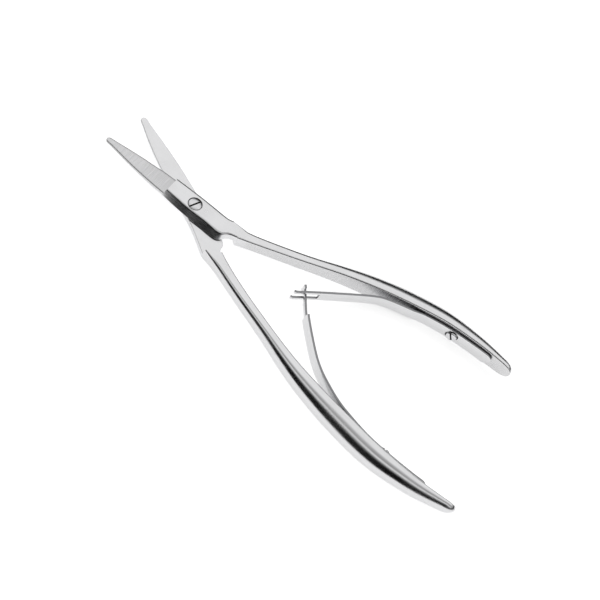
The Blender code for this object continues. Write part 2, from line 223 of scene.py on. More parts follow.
# Overhead light from the -X side (0) over the top (0.5) to the +X side (1): (place, brightness)
LIGHT_STOPS = (
    (0.0, 0.0), (0.21, 0.0), (0.25, 0.22), (0.31, 0.35), (0.34, 1.0), (0.40, 1.0), (0.44, 0.36),
    (0.53, 0.3), (0.63, 0.55), (0.70, 1.0), (0.84, 1.0), (0.90, 0.0), (1.0, 0.0),
)


# Settings

def length(name, description, millimetres):
    return bpy.props.FloatProperty(
        name=name, description=description, default=millimetres * MM, min=0.0, unit="LENGTH", precision=5,
    )


def colour(name, description, code):
    return bpy.props.FloatVectorProperty(
        name=name, description=description, default=linear(code), size=3, min=0.0, max=1.0, subtype="COLOR",
    )


def level(name, description, amount):
    return bpy.props.FloatProperty(name=name, description=description, default=amount, min=0.0)


def linear(code):
    """Linear colour of an sRGB hex value."""
    channels = [int(code[index:index + 2], 16) / 255 for index in (1, 3, 5)]
    return tuple(c / 12.92 if c <= 0.04045 else ((c + 0.055) / 1.055) ** 2.4 for c in channels)


class HalfSettings(bpy.types.PropertyGroup):
    plate_rounding: length("Plate edge", "Rounding along the outer top edge of the joint plates", 0.3)
    neck_rounding: length("Neck edge", "Rounding along the edges behind the joint", 0.45)
    inner_rounding: length("Inner edge", "Rounding along the flat inside of the handles", 0.4)
    polished: colour("Polished steel", "Colour of the polished handles and joint plates", "#D8D8D9")
    ground: colour("Ground steel", "Colour of the ground blades and handle insides", "#D2D2D3")
    # The recess colour is painted shade: it darkens the screw holes, bores and slots where shade falls.
    recess_shade: colour("Recess steel", "Colour of the oil-darkened screw holes", "#3A3835")


class SpringSettings(bpy.types.PropertyGroup):
    thickness: length("Thickness", "Thickness of the spring strip", 0.65)
    width: length("Width", "Width of the spring strip", 4.4)
    edge: length("Edge rounding", "Rounding along the edges of the strip", 0.1)
    fork_slot: length("Fork slot", "Width of the slot between the fork's prongs", 2.4)
    tongue: length("Tongue", "Width of the tongue where it passes the fork", 1.5)
    head: length("Tongue head", "Width of the head that keeps the tongue in the fork", 2.9)
    strip: colour("Strip steel", "Colour of the rolled spring strip", "#D6D6D7")
    # The sheared edge grey is darker than the strip's as painted shade on the strip's edges. The rougher
    # finish is the edges' own.
    sheared: colour("Sheared edge", "Colour of the strip's sheared edges", "#A2A2A4")


class ScrewSettings(bpy.types.PropertyGroup):
    slot_width: length("Slot width", "Width of the screwdriver slots", 0.5)
    pivot_radius: length("Pivot head", "Radius of the pivot screw's head", 1.88)
    pivot_slot: length("Pivot slot depth", "Depth of the slot in the pivot screw", 0.45)
    spring_radius: length("Spring screw head", "Radius of a spring screw's head", 1.65)
    spring_slot: length("Spring screw slot depth", "Depth of the slot in a spring screw", 0.45)
    turned: colour("Turned steel", "Colour of the turned screws", "#D6D6D8")


class StageSettings(bpy.types.PropertyGroup):
    floor: colour("Floor", "Colour of the plain floor", "#F6F6F6")
    glow: level("Floor light", "Light that the floor adds", 0.68)
    sky: level("Overhead light", "Brightness of the light overhead", 1.15)


class SnipsSettings(bpy.types.PropertyGroup):
    halves: bpy.props.PointerProperty(type=HalfSettings)
    springs: bpy.props.PointerProperty(type=SpringSettings)
    screws: bpy.props.PointerProperty(type=ScrewSettings)
    stage: bpy.props.PointerProperty(type=StageSettings)


# Shared helpers

def add_node(tree, kind, inputs=None, **settings):
    """Add a node, set its attributes, and set or link its inputs by name or number."""
    node = tree.nodes.new(kind)
    for key, value in settings.items():
        setattr(node, key, value)
    for key, value in (inputs or {}).items():
        socket = node.inputs[key]
        if isinstance(value, bpy.types.NodeSocket):
            tree.links.new(value, socket)
        else:
            socket.default_value = value
    return node


def smooth_rows(rows, steps):
    """Catmull-Rom curve through rows of equal length, with the given steps to each span."""
    rows = [tuple(row) for row in rows]
    first = tuple(2 * a - b for a, b in zip(rows[0], rows[1]))
    last = tuple(2 * a - b for a, b in zip(rows[-1], rows[-2]))
    points = [first] + rows + [last]
    result = []
    for index in range(1, len(points) - 2):
        around = points[index - 1:index + 3]
        for step in range(steps):
            t = step / steps
            weights = (
                (-t + 2 * t ** 2 - t ** 3) / 2,
                (2 - 5 * t ** 2 + 3 * t ** 3) / 2,
                (t + 4 * t ** 2 - 3 * t ** 3) / 2,
                (-t ** 2 + t ** 3) / 2,
            )
            result.append(tuple(sum(w * p[k] for w, p in zip(weights, around)) for k in range(len(rows[0]))))
    result.append(rows[-1])
    return result


def row_at(rows, position):
    """Linear reading of the columns of rows at a position in their first column."""
    for low, high in zip(rows, rows[1:]):
        if position <= high[0]:
            break
    t = min(1.0, max(0.0, (position - low[0]) / (high[0] - low[0])))
    return tuple(a + (b - a) * t for a, b in zip(low[1:], high[1:]))


def tangent_at(points, index):
    """Direction of a curve at one of its points."""
    low, high = max(0, index - 1), min(len(points) - 1, index + 1)
    return (points[high] - points[low]).normalized()


def point_at_y(points, y):
    """Place and direction where a curve that runs backwards first reaches y."""
    for before, after in zip(points, points[1:]):
        if after.y <= y:
            t = (y - before.y) / (after.y - before.y)
            return before.lerp(after, t), (after - before).normalized()
    raise ValueError("the curve does not reach that far back")


def world(point):
    """Metres in the world of a plan point in millimetres about the datum."""
    return tuple((DATUM + Vector((point[0], point[1], 0.0))) * MM)


def add_piece(name, mesh):
    """A new object at the origin, in the scene."""
    piece = bpy.data.objects.new(name, mesh)
    bpy.context.collection.objects.link(piece)
    return piece


def loft(bm, rings, is_ground=None):
    """Skin equal rings in order and cap both ends.

    is_ground says which (span, side) faces are ground rather than polished.
    """
    made = [[bm.verts.new(point) for point in ring] for ring in rings]
    for span, (low, high) in enumerate(zip(made, made[1:])):
        for index in range(len(low)):
            after = (index + 1) % len(low)
            face = bm.faces.new((low[index], low[after], high[after], high[index]))
            face.material_index = int(is_ground is not None and is_ground(span, index))
    start = bm.faces.new(list(reversed(made[0])))
    start.material_index = int(is_ground is not None)
    bm.faces.new(made[-1])


def solid(name, bm, materials):
    """A closed, outward-facing piece in world metres from a bmesh in millimetres about the datum."""
    bmesh.ops.recalc_face_normals(bm, faces=bm.faces)
    bmesh.ops.translate(bm, verts=bm.verts, vec=DATUM)
    bmesh.ops.scale(bm, verts=bm.verts, vec=(MM, MM, MM))
    mesh = bpy.data.meshes.new(name)
    bm.to_mesh(mesh)
    bm.free()
    for finish in materials:
        mesh.materials.append(finish)
    return add_piece(name, mesh)


def settled(piece, cutters=()):
    """Work the cutters and modifiers into the mesh, drop them, and shade the flats flat."""
    for cutter in cutters:
        modifier = piece.modifiers.new(cutter.name, "BOOLEAN")
        modifier.operation = "DIFFERENCE"
        modifier.solver = "EXACT"
        modifier.object = cutter
        modifier.material_mode = "TRANSFER"
    evaluated = piece.evaluated_get(bpy.context.evaluated_depsgraph_get())
    mesh = bpy.data.meshes.new_from_object(evaluated)
    mesh.name = piece.name
    piece.modifiers.clear()
    piece.data = mesh
    for cutter in cutters:
        bpy.data.objects.remove(cutter, do_unlink=True)
    mesh.shade_smooth()
    mesh.set_sharp_from_angle(angle=SHARP_ANGLE)
    return piece


def turned(name, profile, placing, materials):
    """Solid of revolution: profile rows are (radius, height) from one end to the other."""
    bm = bmesh.new()
    rings = []
    for radius, height in profile:
        ring = []
        for index in range(TURNED_SEGMENTS):
            angle = 2 * math.pi * index / TURNED_SEGMENTS
            ring.append(placing @ Vector((radius * math.cos(angle), radius * math.sin(angle), height)))
        rings.append(ring)
    loft(bm, rings)
    return solid(name, bm, materials)


def block(name, size, placing, finish):
    """Box of a size in millimetres, centred on a placing."""
    bm = bmesh.new()
    bmesh.ops.create_cube(bm, size=1.0)
    bmesh.ops.scale(bm, verts=bm.verts, vec=size)
    bmesh.ops.transform(bm, matrix=placing, verts=bm.verts)
    return solid(name, bm, (finish,))


# Finishes

def new_finish(name):
    """An empty material and its node tree."""
    finish = bpy.data.materials.new(name)
    finish.use_nodes = True
    finish.node_tree.nodes.clear()
    return finish, finish.node_tree


def end_metal(tree, tone, shade, pattern, inputs):
    """Finish a metal's tree: its tone runs down to a share of itself where the pattern is low."""
    tint = add_node(tree, "ShaderNodeMix", {
        "Factor": pattern.outputs["Fac"], "A": (*[c * shade for c in tone], 1.0), "B": (*tone, 1.0),
    }, data_type="RGBA")
    shader = add_node(tree, "ShaderNodeBsdfPrincipled", {
        "Base Color": tint.outputs["Result"], "Metallic": 1.0, **inputs,
    })
    add_node(tree, "ShaderNodeOutputMaterial", {"Surface": shader.outputs[0]})


def polished_forging(tone):
    """Forged stainless steel, polished lengthwise on a soft wheel.

    Bright and nearly mirror-like, with faint lengthwise lines, a slow waviness left by the hand
    polishing, and slightly duller patches where it is handled.
    """
    finish, tree = new_finish("polished_forged_stainless")
    place = add_node(tree, "ShaderNodeTexCoord").outputs["Object"]
    # Wheel lines are about 0.05 mm apart, drawn 0.3 mm apart so that they show
    along = add_node(tree, "ShaderNodeMapping", {"Vector": place, "Scale": (3300.0, 90.0, 3300.0)})
    lines = add_node(tree, "ShaderNodeTexNoise", {
        "Vector": along.outputs[0], "Scale": 1.0, "Detail": 3.0, "Roughness": 0.6,
    })
    handling = add_node(tree, "ShaderNodeTexNoise", {"Vector": place, "Scale": 140.0, "Detail": 4.0})
    wave = add_node(tree, "ShaderNodeTexNoise", {"Vector": place, "Scale": 60.0, "Detail": 1.0})
    dulled = add_node(tree, "ShaderNodeMapRange", {
        "Value": handling.outputs["Fac"], "From Min": 0.35, "From Max": 0.7, "To Min": 0.16, "To Max": 0.24,
    })
    worn = add_node(tree, "ShaderNodeMath", {
        0: lines.outputs["Fac"], 1: 0.08, 2: dulled.outputs[0],
    }, operation="MULTIPLY_ADD")
    relief = add_node(tree, "ShaderNodeBump", {
        "Height": wave.outputs["Fac"], "Strength": 0.12, "Distance": 0.0003,
    })
    fine = add_node(tree, "ShaderNodeBump", {
        "Height": lines.outputs["Fac"], "Strength": 0.08, "Distance": 0.00002, "Normal": relief.outputs[0],
    })
    end_metal(tree, tone, 0.95, handling, {"Roughness": worn.outputs[0], "Normal": fine.outputs[0]})
    return finish


def ground_blade(tone, name, lean):
    """Stainless steel ground across the blade on a fine belt.

    An even, soft grey sheen with fine grinding lines square to the cutting edge.
    """
    finish, tree = new_finish(name)
    place = add_node(tree, "ShaderNodeTexCoord").outputs["Object"]
    # A 320 grit belt leaves lines about 0.05 mm apart, drawn 0.25 mm apart so that they show
    turned_place = add_node(tree, "ShaderNodeVectorRotate", {"Vector": place, "Angle": lean})
    across = add_node(tree, "ShaderNodeMapping", {
        "Vector": turned_place.outputs[0], "Scale": (120.0, 4000.0, 120.0),
    })
    lines = add_node(tree, "ShaderNodeTexNoise", {
        "Vector": across.outputs[0], "Scale": 1.0, "Detail": 4.0, "Roughness": 0.7,
    })
    patches = add_node(tree, "ShaderNodeTexNoise", {"Vector": place, "Scale": 220.0, "Detail": 3.0})
    rough = add_node(tree, "ShaderNodeMapRange", {
        "Value": lines.outputs["Fac"], "From Min": 0.3, "From Max": 0.7, "To Min": 0.22, "To Max": 0.34,
    })
    relief = add_node(tree, "ShaderNodeBump", {
        "Height": lines.outputs["Fac"], "Strength": 0.15, "Distance": 0.00003,
    })
    end_metal(tree, tone, 0.94, patches, {"Roughness": rough.outputs[0], "Normal": relief.outputs[0]})
    return finish


def rolled_strip(tone):
    """Cold-rolled spring steel strip, polished.

    Bright and smooth, with straight roll lines along the strip and a little uneven sheen.
    """
    finish, tree = new_finish("rolled_spring_strip")
    place = add_node(tree, "ShaderNodeTexCoord").outputs["Object"]
    # Roll lines are about 0.1 mm apart, drawn 0.25 mm apart so that they show
    along = add_node(tree, "ShaderNodeMapping", {"Vector": place, "Scale": (60.0, 60.0, 4000.0)})
    lines = add_node(tree, "ShaderNodeTexNoise", {
        "Vector": along.outputs[0], "Scale": 1.0, "Detail": 3.0, "Roughness": 0.6,
    })
    sheen = add_node(tree, "ShaderNodeTexNoise", {"Vector": place, "Scale": 180.0, "Detail": 2.0})
    rough = add_node(tree, "ShaderNodeMapRange", {
        "Value": lines.outputs["Fac"], "From Min": 0.3, "From Max": 0.7, "To Min": 0.18, "To Max": 0.28,
    })
    relief = add_node(tree, "ShaderNodeBump", {
        "Height": lines.outputs["Fac"], "Strength": 0.1, "Distance": 0.00003,
    })
    end_metal(tree, tone, 0.95, sheen, {"Roughness": rough.outputs[0], "Normal": relief.outputs[0]})
    return finish


def turned_screw(name, tone, placing):
    """Turned and polished screw steel.

    Fine rings round the screw's own axis, and a slightly darker, duller sheen than the forgings.
    """
    finish, tree = new_finish(name)
    place = add_node(tree, "ShaderNodeTexCoord").outputs["Object"]
    centre = (DATUM + placing.translation) * MM
    centred = add_node(tree, "ShaderNodeVectorMath", {0: place, 1: centre}, operation="SUBTRACT")
    axis = placing.to_3x3() @ Vector((0.0, 0.0, 1.0))
    outward = add_node(tree, "ShaderNodeVectorMath", {
        0: centred.outputs[0], 1: axis,
    }, operation="CROSS_PRODUCT")
    radius = add_node(tree, "ShaderNodeVectorMath", {0: outward.outputs[0]}, operation="LENGTH")
    # A lathe feed of about 0.05 mm, drawn as rings 0.2 mm apart so that they show
    rings = add_node(tree, "ShaderNodeMath", {0: radius.outputs["Value"], 1: 31400.0}, operation="MULTIPLY")
    groove = add_node(tree, "ShaderNodeMath", {0: rings.outputs[0]}, operation="SINE")
    patches = add_node(tree, "ShaderNodeTexNoise", {"Vector": place, "Scale": 900.0, "Detail": 3.0})
    rough = add_node(tree, "ShaderNodeMapRange", {
        "Value": patches.outputs["Fac"], "From Min": 0.3, "From Max": 0.7, "To Min": 0.2, "To Max": 0.32,
    })
    relief = add_node(tree, "ShaderNodeBump", {
        "Height": groove.outputs[0], "Strength": 0.06, "Distance": 0.00002,
    })
    end_metal(tree, tone, 0.92, patches, {"Roughness": rough.outputs[0], "Normal": relief.outputs[0]})
    return finish


def recess_painted_shade(tone):
    """Bare steel in a screw hole or slot, painted dark for the shade that falls in it.

    A dull dark line of painted shade where a screw meets the metal round it.
    """
    name = "steel_recess_painted_shade"
    if name in bpy.data.materials:
        return bpy.data.materials[name]
    finish, tree = new_finish(name)
    place = add_node(tree, "ShaderNodeTexCoord").outputs["Object"]
    # Specks about 0.3 mm across that vary the painted shade and its roughness
    specks = add_node(tree, "ShaderNodeTexNoise", {"Vector": place, "Scale": 3300.0, "Detail": 3.0})
    rough = add_node(tree, "ShaderNodeMapRange", {
        "Value": specks.outputs["Fac"], "From Min": 0.3, "From Max": 0.7, "To Min": 0.5, "To Max": 0.75,
    })
    end_metal(tree, tone, 0.5, specks, {"Roughness": rough.outputs[0], "Metallic": 0.6})
    return finish


def sheared_edge_painted_shade(tone):
    """Edge of spring strip as it was sheared and lightly stoned.

    Duller than the rolled faces, with short marks across the edge, and greyer as painted shade on the edges.
    """
    finish, tree = new_finish("sheared_spring_edge_painted_shade")
    place = add_node(tree, "ShaderNodeTexCoord").outputs["Object"]
    # Stoning marks about 0.2 mm apart
    marks = add_node(tree, "ShaderNodeTexNoise", {"Vector": place, "Scale": 5000.0, "Detail": 3.0})
    rough = add_node(tree, "ShaderNodeMapRange", {
        "Value": marks.outputs["Fac"], "From Min": 0.3, "From Max": 0.7, "To Min": 0.35, "To Max": 0.5,
    })
    end_metal(tree, tone, 0.8, marks, {"Roughness": rough.outputs[0]})
    return finish


# Halves

def rounded_section(corners, roundings):
    """Closed ring round four corners, each rounded by (before, after)."""
    ring = []
    for index, (corner, (back, front)) in enumerate(zip(corners, roundings)):
        here = Vector(corner)
        before = Vector(corners[index - 1]) - here
        after = Vector(corners[(index + 1) % 4]) - here
        back = max(SMALLEST_ROUNDING, min(back, SIDE_SHARE * before.length))
        front = max(SMALLEST_ROUNDING, min(front, SIDE_SHARE * after.length))
        start = here + before.normalized() * back
        end = here + after.normalized() * front
        centre = start + end - here
        ring.append(start + before.normalized() * FLAT_MARGIN)
        for step in range(CORNER_STEPS + 1):
            angle = step / CORNER_STEPS * math.pi / 2
            ring.append(centre + (start - centre) * math.cos(angle) + (end - centre) * math.sin(angle))
        ring.append(end + after.normalized() * FLAT_MARGIN)
    return ring


def rib_ring(left, right, bottom, top_left, top_right, roundings, lean=0.0):
    """Ring of one rib that stands between two plan points. lean tips the left wall in."""
    width = (right - left).length
    along = (right - left) / width
    corners = ((0.0, bottom), (width, bottom), (width, top_right), (lean, top_left))
    ring = []
    for u, z in rounded_section(corners, roundings):
        plan = left + along * u
        ring.append(Vector((plan.x, plan.y, z)))
    return ring


def blade_rings(half):
    """Ribs from the rounded tip to the blade's foot."""
    turn = Matrix.Rotation(half["blade_angle"], 2)
    middle, radius = half["tip"]
    ribs = []
    for step in range(ARC_STEPS + 1):
        angle = math.radians(TIP_START + ARC_DEGREES * step / ARC_STEPS)
        offset = radius * math.sin(angle)
        ribs.append((TIP_Y + radius * math.cos(angle), middle - offset, *TIP_HEIGHTS, middle + offset))
    rows = [
        (y, back_x, back, thin, edge)
        for (y, back, thin), back_x, edge in zip(BLADE_ROWS, half["back_edge"], half["cutting_edge"])
    ]
    ribs += reversed(smooth_rows(rows, 8))
    return [
        rib_ring(
            turn @ Vector((outer, y * half["blade_stretch"])),
            turn @ Vector((edge, y * half["blade_stretch"])),
            HALF_LAP, back, thin, BLADE_ROUNDINGS,
        )
        for y, outer, back, thin, edge in ribs
    ]


def plate_rings(half, settings):
    """Ribs of the joint plate and the neck. The last one has the handle's full height."""
    turn = Matrix.Rotation(half["blade_angle"], 2)
    outer_round, neck_round = settings.plate_rounding / MM, settings.neck_rounding / MM
    rows = []
    for y, outer, inner, lean in half["plate"]:
        rows.append((*(turn @ Vector((outer, y))), *(turn @ Vector((inner, y))), lean, outer_round))
    for left_x, left_y, right_x, right_y, lean, full in half["neck"]:
        if not full:
            rows.append((left_x, left_y, right_x, right_y, lean, neck_round))
    made = []
    for row in smooth_rows(rows, 6):
        made.append(rib_ring(
            Vector(row[:2]), Vector(row[2:4]), HALF_LAP, JOINT_HALF_HEIGHT, JOINT_HALF_HEIGHT,
            (*PLATE_ROUNDINGS, (row[5], row[5])), row[4],
        ))
    left_x, left_y, right_x, right_y, lean, _ = half["neck"][-1]
    made.append(rib_ring(
        Vector((left_x, left_y)), Vector((right_x, right_y)),
        -JOINT_HALF_HEIGHT, JOINT_HALF_HEIGHT, JOINT_HALF_HEIGHT,
        (*NECK_ROUNDINGS, (neck_round, neck_round)), lean,
    ))
    return made


def inner_curve(half):
    """Plan points of a handle's flat inside, in the half's own frame."""
    return [Vector(point) for point in smooth_rows(half["inner_line"], 12)]


def handle_ring(point, heading, row, inner):
    """Rib of the handle: flat inside at the point, domed outside."""
    thickness, height, across, down = row
    outward = Vector((-heading.y, heading.x))
    return rib_ring(
        point, point + outward * thickness, -height / 2, height / 2, height / 2,
        [(inner, inner), (across, down), (down, across), (inner, inner)],
    )


def handle_row(rows, half, distance):
    """Handle section at a distance, with the half's own slimming towards the end."""
    thickness, height, across, down = row_at(rows, distance)
    share = max(0.0, distance - SLIMMING_START) / (HANDLE_REACH - SLIMMING_START)
    slimmer = half["end_slimming"] * share
    return thickness - slimmer, height - slimmer, across - slimmer / 2, down - slimmer / 2


def handle_rings(half, settings):
    """Flat inside, domed outside, with a rounded end."""
    inner = settings.inner_rounding / MM
    points = inner_curve(half)
    rows = smooth_rows(HANDLE_ROWS, 8)
    stretch = HANDLE_REACH / abs(points[-1].y)
    run = [0.0]
    for before, after in zip(points, points[1:]):
        run.append(run[-1] + (after - before).length)
    made = []
    for index, point in enumerate(points):
        if run[-1] - run[index] < HANDLE_END_LENGTH:
            break
        row = handle_row(rows, half, -point.y * stretch)
        made.append(handle_ring(point, tangent_at(points, index), row, inner))
    heading = tangent_at(points, len(points) - 1)
    end = points[-1] - heading * HANDLE_END_LENGTH
    thickness, height, across, down = handle_row(rows, half, -end.y * stretch)
    for step in range(1, ARC_STEPS + 1):
        reach = math.sin(step / ARC_STEPS * math.radians(ARC_DEGREES))
        shrink = math.sqrt(1 - reach ** 2)
        # The end keeps part of its thickness and height, so that it closes on a small face
        row = (
            thickness * (0.25 + 0.75 * shrink), height * (0.15 + 0.85 * shrink),
            across * shrink, down * shrink,
        )
        made.append(handle_ring(end + heading * HANDLE_END_LENGTH * reach, heading, row, inner * shrink))
    return made


def offset_inner(half_name, distance):
    """Plan curve lying a distance inside the flat face of a handle, in world directions."""
    half = HALVES[half_name]
    points = inner_curve(half)
    side = -1.0 if half["flip"] else 1.0
    made = []
    for index, point in enumerate(points):
        heading = tangent_at(points, index)
        moved = point - Vector((-heading.y, heading.x)) * distance
        made.append(Vector((side * moved.x, moved.y)))
    return made


def screw_placing(half_name):
    """Frame of a spring screw: origin on the handle's flat face, +Z out of the face."""
    point, heading = point_at_y(offset_inner(half_name, 0.0), SPRING_SCREW_Y)
    inward = Vector((heading.y, -heading.x))
    if HALVES[half_name]["flip"]:
        inward = -inward
    z_axis = Vector((inward.x, inward.y, 0.0))
    x_axis = Vector((0.0, 0.0, 1.0))
    placing = Matrix((x_axis, z_axis.cross(x_axis), z_axis)).transposed().to_4x4()
    placing.translation = Vector((point.x, point.y, 0.0))
    return placing


def spring_screw_bore(half_name, screws, finish):
    """Cutter for a countersunk hole that runs through a spring into its handle."""
    sink = screws.spring_radius / MM + SPRING_BORE_GAP
    return turned(half_name + "_bore", (
        (1.02, -2.8), (1.02, 0.05), (sink, 0.1), (sink, 1.2),
    ), screw_placing(half_name), (finish,))


class SNIPS_OT_halves(bpy.types.Operator):
    """Make the two forged halves with their blades, joint plates and handles"""

    bl_idname = "snips.halves"
    bl_label = "Forged Halves"

    def execute(self, context):
        settings = context.scene.thread_snips
        forged = polished_forging(settings.halves.polished)
        for name, half in HALVES.items():
            self.make_half(name, half, settings, forged)
        return {"FINISHED"}

    def make_half(self, name, half, settings, forged):
        """One half as a skin from blade tip to handle end, with its screw holes cut."""
        ground = ground_blade(settings.halves.ground, "ground_" + name, half["blade_angle"])
        blade = blade_rings(half)
        plate = plate_rings(half, settings.halves)
        rings = blade + plate + handle_rings(half, settings.halves)
        if half["flip"]:
            rings = [[Vector((-p.x, p.y, -p.z)) for p in ring] for ring in rings]

        def is_ground(span, side):
            if span < len(blade) - 1:
                return side >= 2 * CORNER_POINTS - 1
            return span > len(blade) + len(plate) and side == len(rings[0]) - 1

        bm = bmesh.new()
        loft(bm, rings, is_ground)
        piece = solid(name + "_forging", bm, (forged, ground))
        # The bores and the pivot hole take the dark recess finish, which is painted shade in the gaps round
        # the screws
        dark = recess_painted_shade(settings.halves.recess_shade)
        cutters = [
            spring_screw_bore(name, settings.screws, dark),
            turned("pivot_hole", self.pivot_bore(name, settings.screws),
                   Matrix.Translation(JOINT_OFFSET), (dark,)),
        ]
        settled(piece, cutters)
        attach(piece, half["body"])
        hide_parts(name)

    def pivot_bore(self, name, screws):
        """Profile of the pivot's hole: stepped for the head in the upper half, plain in the lower."""
        if name == "lower_half":
            return (1.25, -3.2), (1.25, 0.1)
        seat = screws.pivot_radius / MM + PIVOT_SEAT_GAP
        return (1.5, -0.1), (1.5, 1.0), (seat, 1.0), (seat, 3.2)


# Screws

class SNIPS_OT_pivot_screw(bpy.types.Operator):
    """Make the slotted pivot screw"""

    bl_idname = "snips.pivot_screw"
    bl_label = "Pivot Screw"

    def execute(self, context):
        screws = context.scene.thread_snips.screws
        placing = Matrix.Translation(JOINT_OFFSET)
        steel = turned_screw("turned_pivot_screw", screws.turned, placing)
        radius = screws.pivot_radius / MM
        piece = turned("pivot_screw_turned", (
            (0.8, -2.1), (1.0, -1.9), (1.0, 0.0), (1.25, 0.0), (1.25, 1.25), (radius, 1.25),
            (radius, 2.0), (radius - 0.04, 2.08), (radius - 0.12, 2.12), (radius * 0.5, 2.14),
            (0.05, PIVOT_HEAD_TOP),
        ), placing, (steel,))
        slot = Matrix.Translation((0.0, 0.0, PIVOT_HEAD_TOP)) @ Matrix.Rotation(PIVOT_SLOT_TURN, 4, "Z")
        size = (5.0, screws.slot_width / MM, screws.pivot_slot / MM * 2)
        # The pivot slot takes the dark recess finish, which is painted shade in the slot
        dark = recess_painted_shade(context.scene.thread_snips.halves.recess_shade)
        settled(piece, [block("pivot_slot", size, placing @ slot, dark)])
        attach(piece, "lower")
        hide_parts("pivot_screw")
        return {"FINISHED"}


class SNIPS_OT_spring_screws(bpy.types.Operator):
    """Make the two countersunk screws that hold the springs"""

    bl_idname = "snips.spring_screws"
    bl_label = "Spring Screws"

    def execute(self, context):
        screws = context.scene.thread_snips.screws
        radius = screws.spring_radius / MM
        # The spring screw slots take the dark recess finish, which is painted shade in the slots
        dark = recess_painted_shade(context.scene.thread_snips.halves.recess_shade)
        for name, (half_name, turn) in SPRING_SCREWS.items():
            placing = screw_placing(half_name)
            steel = turned_screw("turned_" + name, screws.turned, placing)
            piece = turned(name + "_turned", (
                (0.56, -2.4), (0.8, -2.1), (0.8, 0.3), (radius, 0.85), (radius, 1.35),
                (radius - 0.06, 1.44), (radius - 0.15, 1.5), (radius * 0.5, 1.56),
                (0.05, SPRING_HEAD_TOP),
            ), placing, (steel,))
            slot = Matrix.Translation((0.0, 0.0, SPRING_HEAD_TOP)) @ Matrix.Rotation(turn, 4, "Z")
            size = (4.0, screws.slot_width / MM, screws.spring_slot / MM * 2)
            settled(piece, [block(name + "_slot", size, placing @ slot, dark)])
            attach(piece, HALVES[half_name]["body"])
            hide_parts(name)
        return {"FINISHED"}


# Springs

def strip_tree():
    """Geometry nodes that bend a flat strip along a route of points.

    The route's half_width attribute gives the strip's half width at each point.
    """
    tree = bpy.data.node_groups.new("bent_spring_strip", "GeometryNodeTree")
    tree.interface.new_socket("Route", in_out="INPUT", socket_type="NodeSocketGeometry")
    for size in ("Thickness", "Edge Rounding", "Height of Middle"):
        tree.interface.new_socket(size, in_out="INPUT", socket_type="NodeSocketFloat")
    tree.interface.new_socket("Steel", in_out="INPUT", socket_type="NodeSocketMaterial")
    tree.interface.new_socket("Strip", in_out="OUTPUT", socket_type="NodeSocketGeometry")
    given = add_node(tree, "NodeGroupInput").outputs
    route = add_node(tree, "GeometryNodeMeshToCurve", {"Mesh": given["Route"]})
    upright = add_node(tree, "GeometryNodeSetCurveNormal", {"Curve": route.outputs[0]}, mode="Z_UP")
    # The profile starts only just tall enough for its roundings, and is then spread to the full width
    core = add_node(tree, "ShaderNodeMath", {0: given["Edge Rounding"], 1: 2.2}, operation="MULTIPLY")
    outline = add_node(tree, "GeometryNodeCurvePrimitiveQuadrilateral", {
        "Width": given["Thickness"], "Height": core.outputs[0],
    })
    eased = add_node(tree, "GeometryNodeFilletCurve", {
        "Curve": outline.outputs[0], "Count": 3, "Radius": given["Edge Rounding"],
    }, mode="POLY")
    strip = add_node(tree, "GeometryNodeCurveToMesh", {
        "Curve": upright.outputs[0], "Profile Curve": eased.outputs[0], "Fill Caps": True,
    })
    place = add_node(tree, "GeometryNodeInputPosition")
    height = add_node(tree, "ShaderNodeSeparateXYZ", {0: place.outputs[0]})
    above = add_node(tree, "ShaderNodeMath", {
        0: height.outputs["Z"], 1: given["Height of Middle"],
    }, operation="SUBTRACT")
    side = add_node(tree, "ShaderNodeMath", {0: above.outputs[0]}, operation="SIGN")
    wide = add_node(tree, "GeometryNodeInputNamedAttribute", {"Name": "half_width"}, data_type="FLOAT")
    half_core = add_node(tree, "ShaderNodeMath", {0: core.outputs[0], 1: 0.5}, operation="MULTIPLY")
    grow = add_node(tree, "ShaderNodeMath", {
        0: wide.outputs["Attribute"], 1: half_core.outputs[0],
    }, operation="SUBTRACT")
    shift = add_node(tree, "ShaderNodeMath", {0: side.outputs[0], 1: grow.outputs[0]}, operation="MULTIPLY")
    offset = add_node(tree, "ShaderNodeCombineXYZ", {"Z": shift.outputs[0]})
    spread = add_node(tree, "GeometryNodeSetPosition", {
        "Geometry": strip.outputs[0], "Offset": offset.outputs[0],
    })
    real = add_node(tree, "GeometryNodeRealizeInstances", {0: spread.outputs[0]})
    steel = add_node(tree, "GeometryNodeSetMaterial", {
        "Geometry": real.outputs[0], "Material": given["Steel"],
    })
    add_node(tree, "NodeGroupOutput", {"Strip": steel.outputs[0]})
    return tree


def shade_sheared_edges(piece, sheared):
    """Give the strip's top and bottom edges their own finish, whose darker grey is painted shade."""
    mesh = piece.data
    if sheared.name not in mesh.materials:
        mesh.materials.append(sheared)
    slot = list(mesh.materials).index(sheared)
    for face in mesh.polygons:
        if abs(face.normal.z) > 0.6 and face.material_index == 0:
            face.material_index = slot


def strip_route(half_name, free, settings, tongue):
    """Plan points and half widths of a spring from its rounded rear end to its free end.

    A tongue narrows past its shoulder and ends in a wider head.
    """
    thickness, full = settings.thickness / MM, settings.width / MM / 2
    narrow, head = settings.tongue / MM / 2, settings.head / MM / 2
    seat = offset_inner(half_name, SEAT_GAP + thickness / 2)
    rear, _ = point_at_y(seat, SPRING_END_Y)
    points = [rear]
    points += [point for point in reversed(seat) if SPRING_END_Y + 1.0 < point.y < free[0][1] - 3.0]
    points += [Vector(point) for point in smooth_rows(free, 10)]
    heading = tangent_at(points, 0)
    route = []
    for step in range(SPRING_END_STEPS):
        share = (SPRING_END_STEPS - step) / SPRING_END_STEPS
        reach = math.sin(share * math.radians(SPRING_END_DEGREES))
        route.append((points[0] - heading * full * reach, full * math.sqrt(1 - reach ** 2)))
    for index, point in enumerate(points):
        wanted = full
        if tongue and point.x > TONGUE_SHOULDER_X:
            wanted = head if point.x > TONGUE_HEAD_X else narrow
        if wanted != route[-1][1] and index:
            route.append((point - tangent_at(points, index) * SHOULDER_STEP, route[-1][1]))
        route.append((point, wanted))
    return route


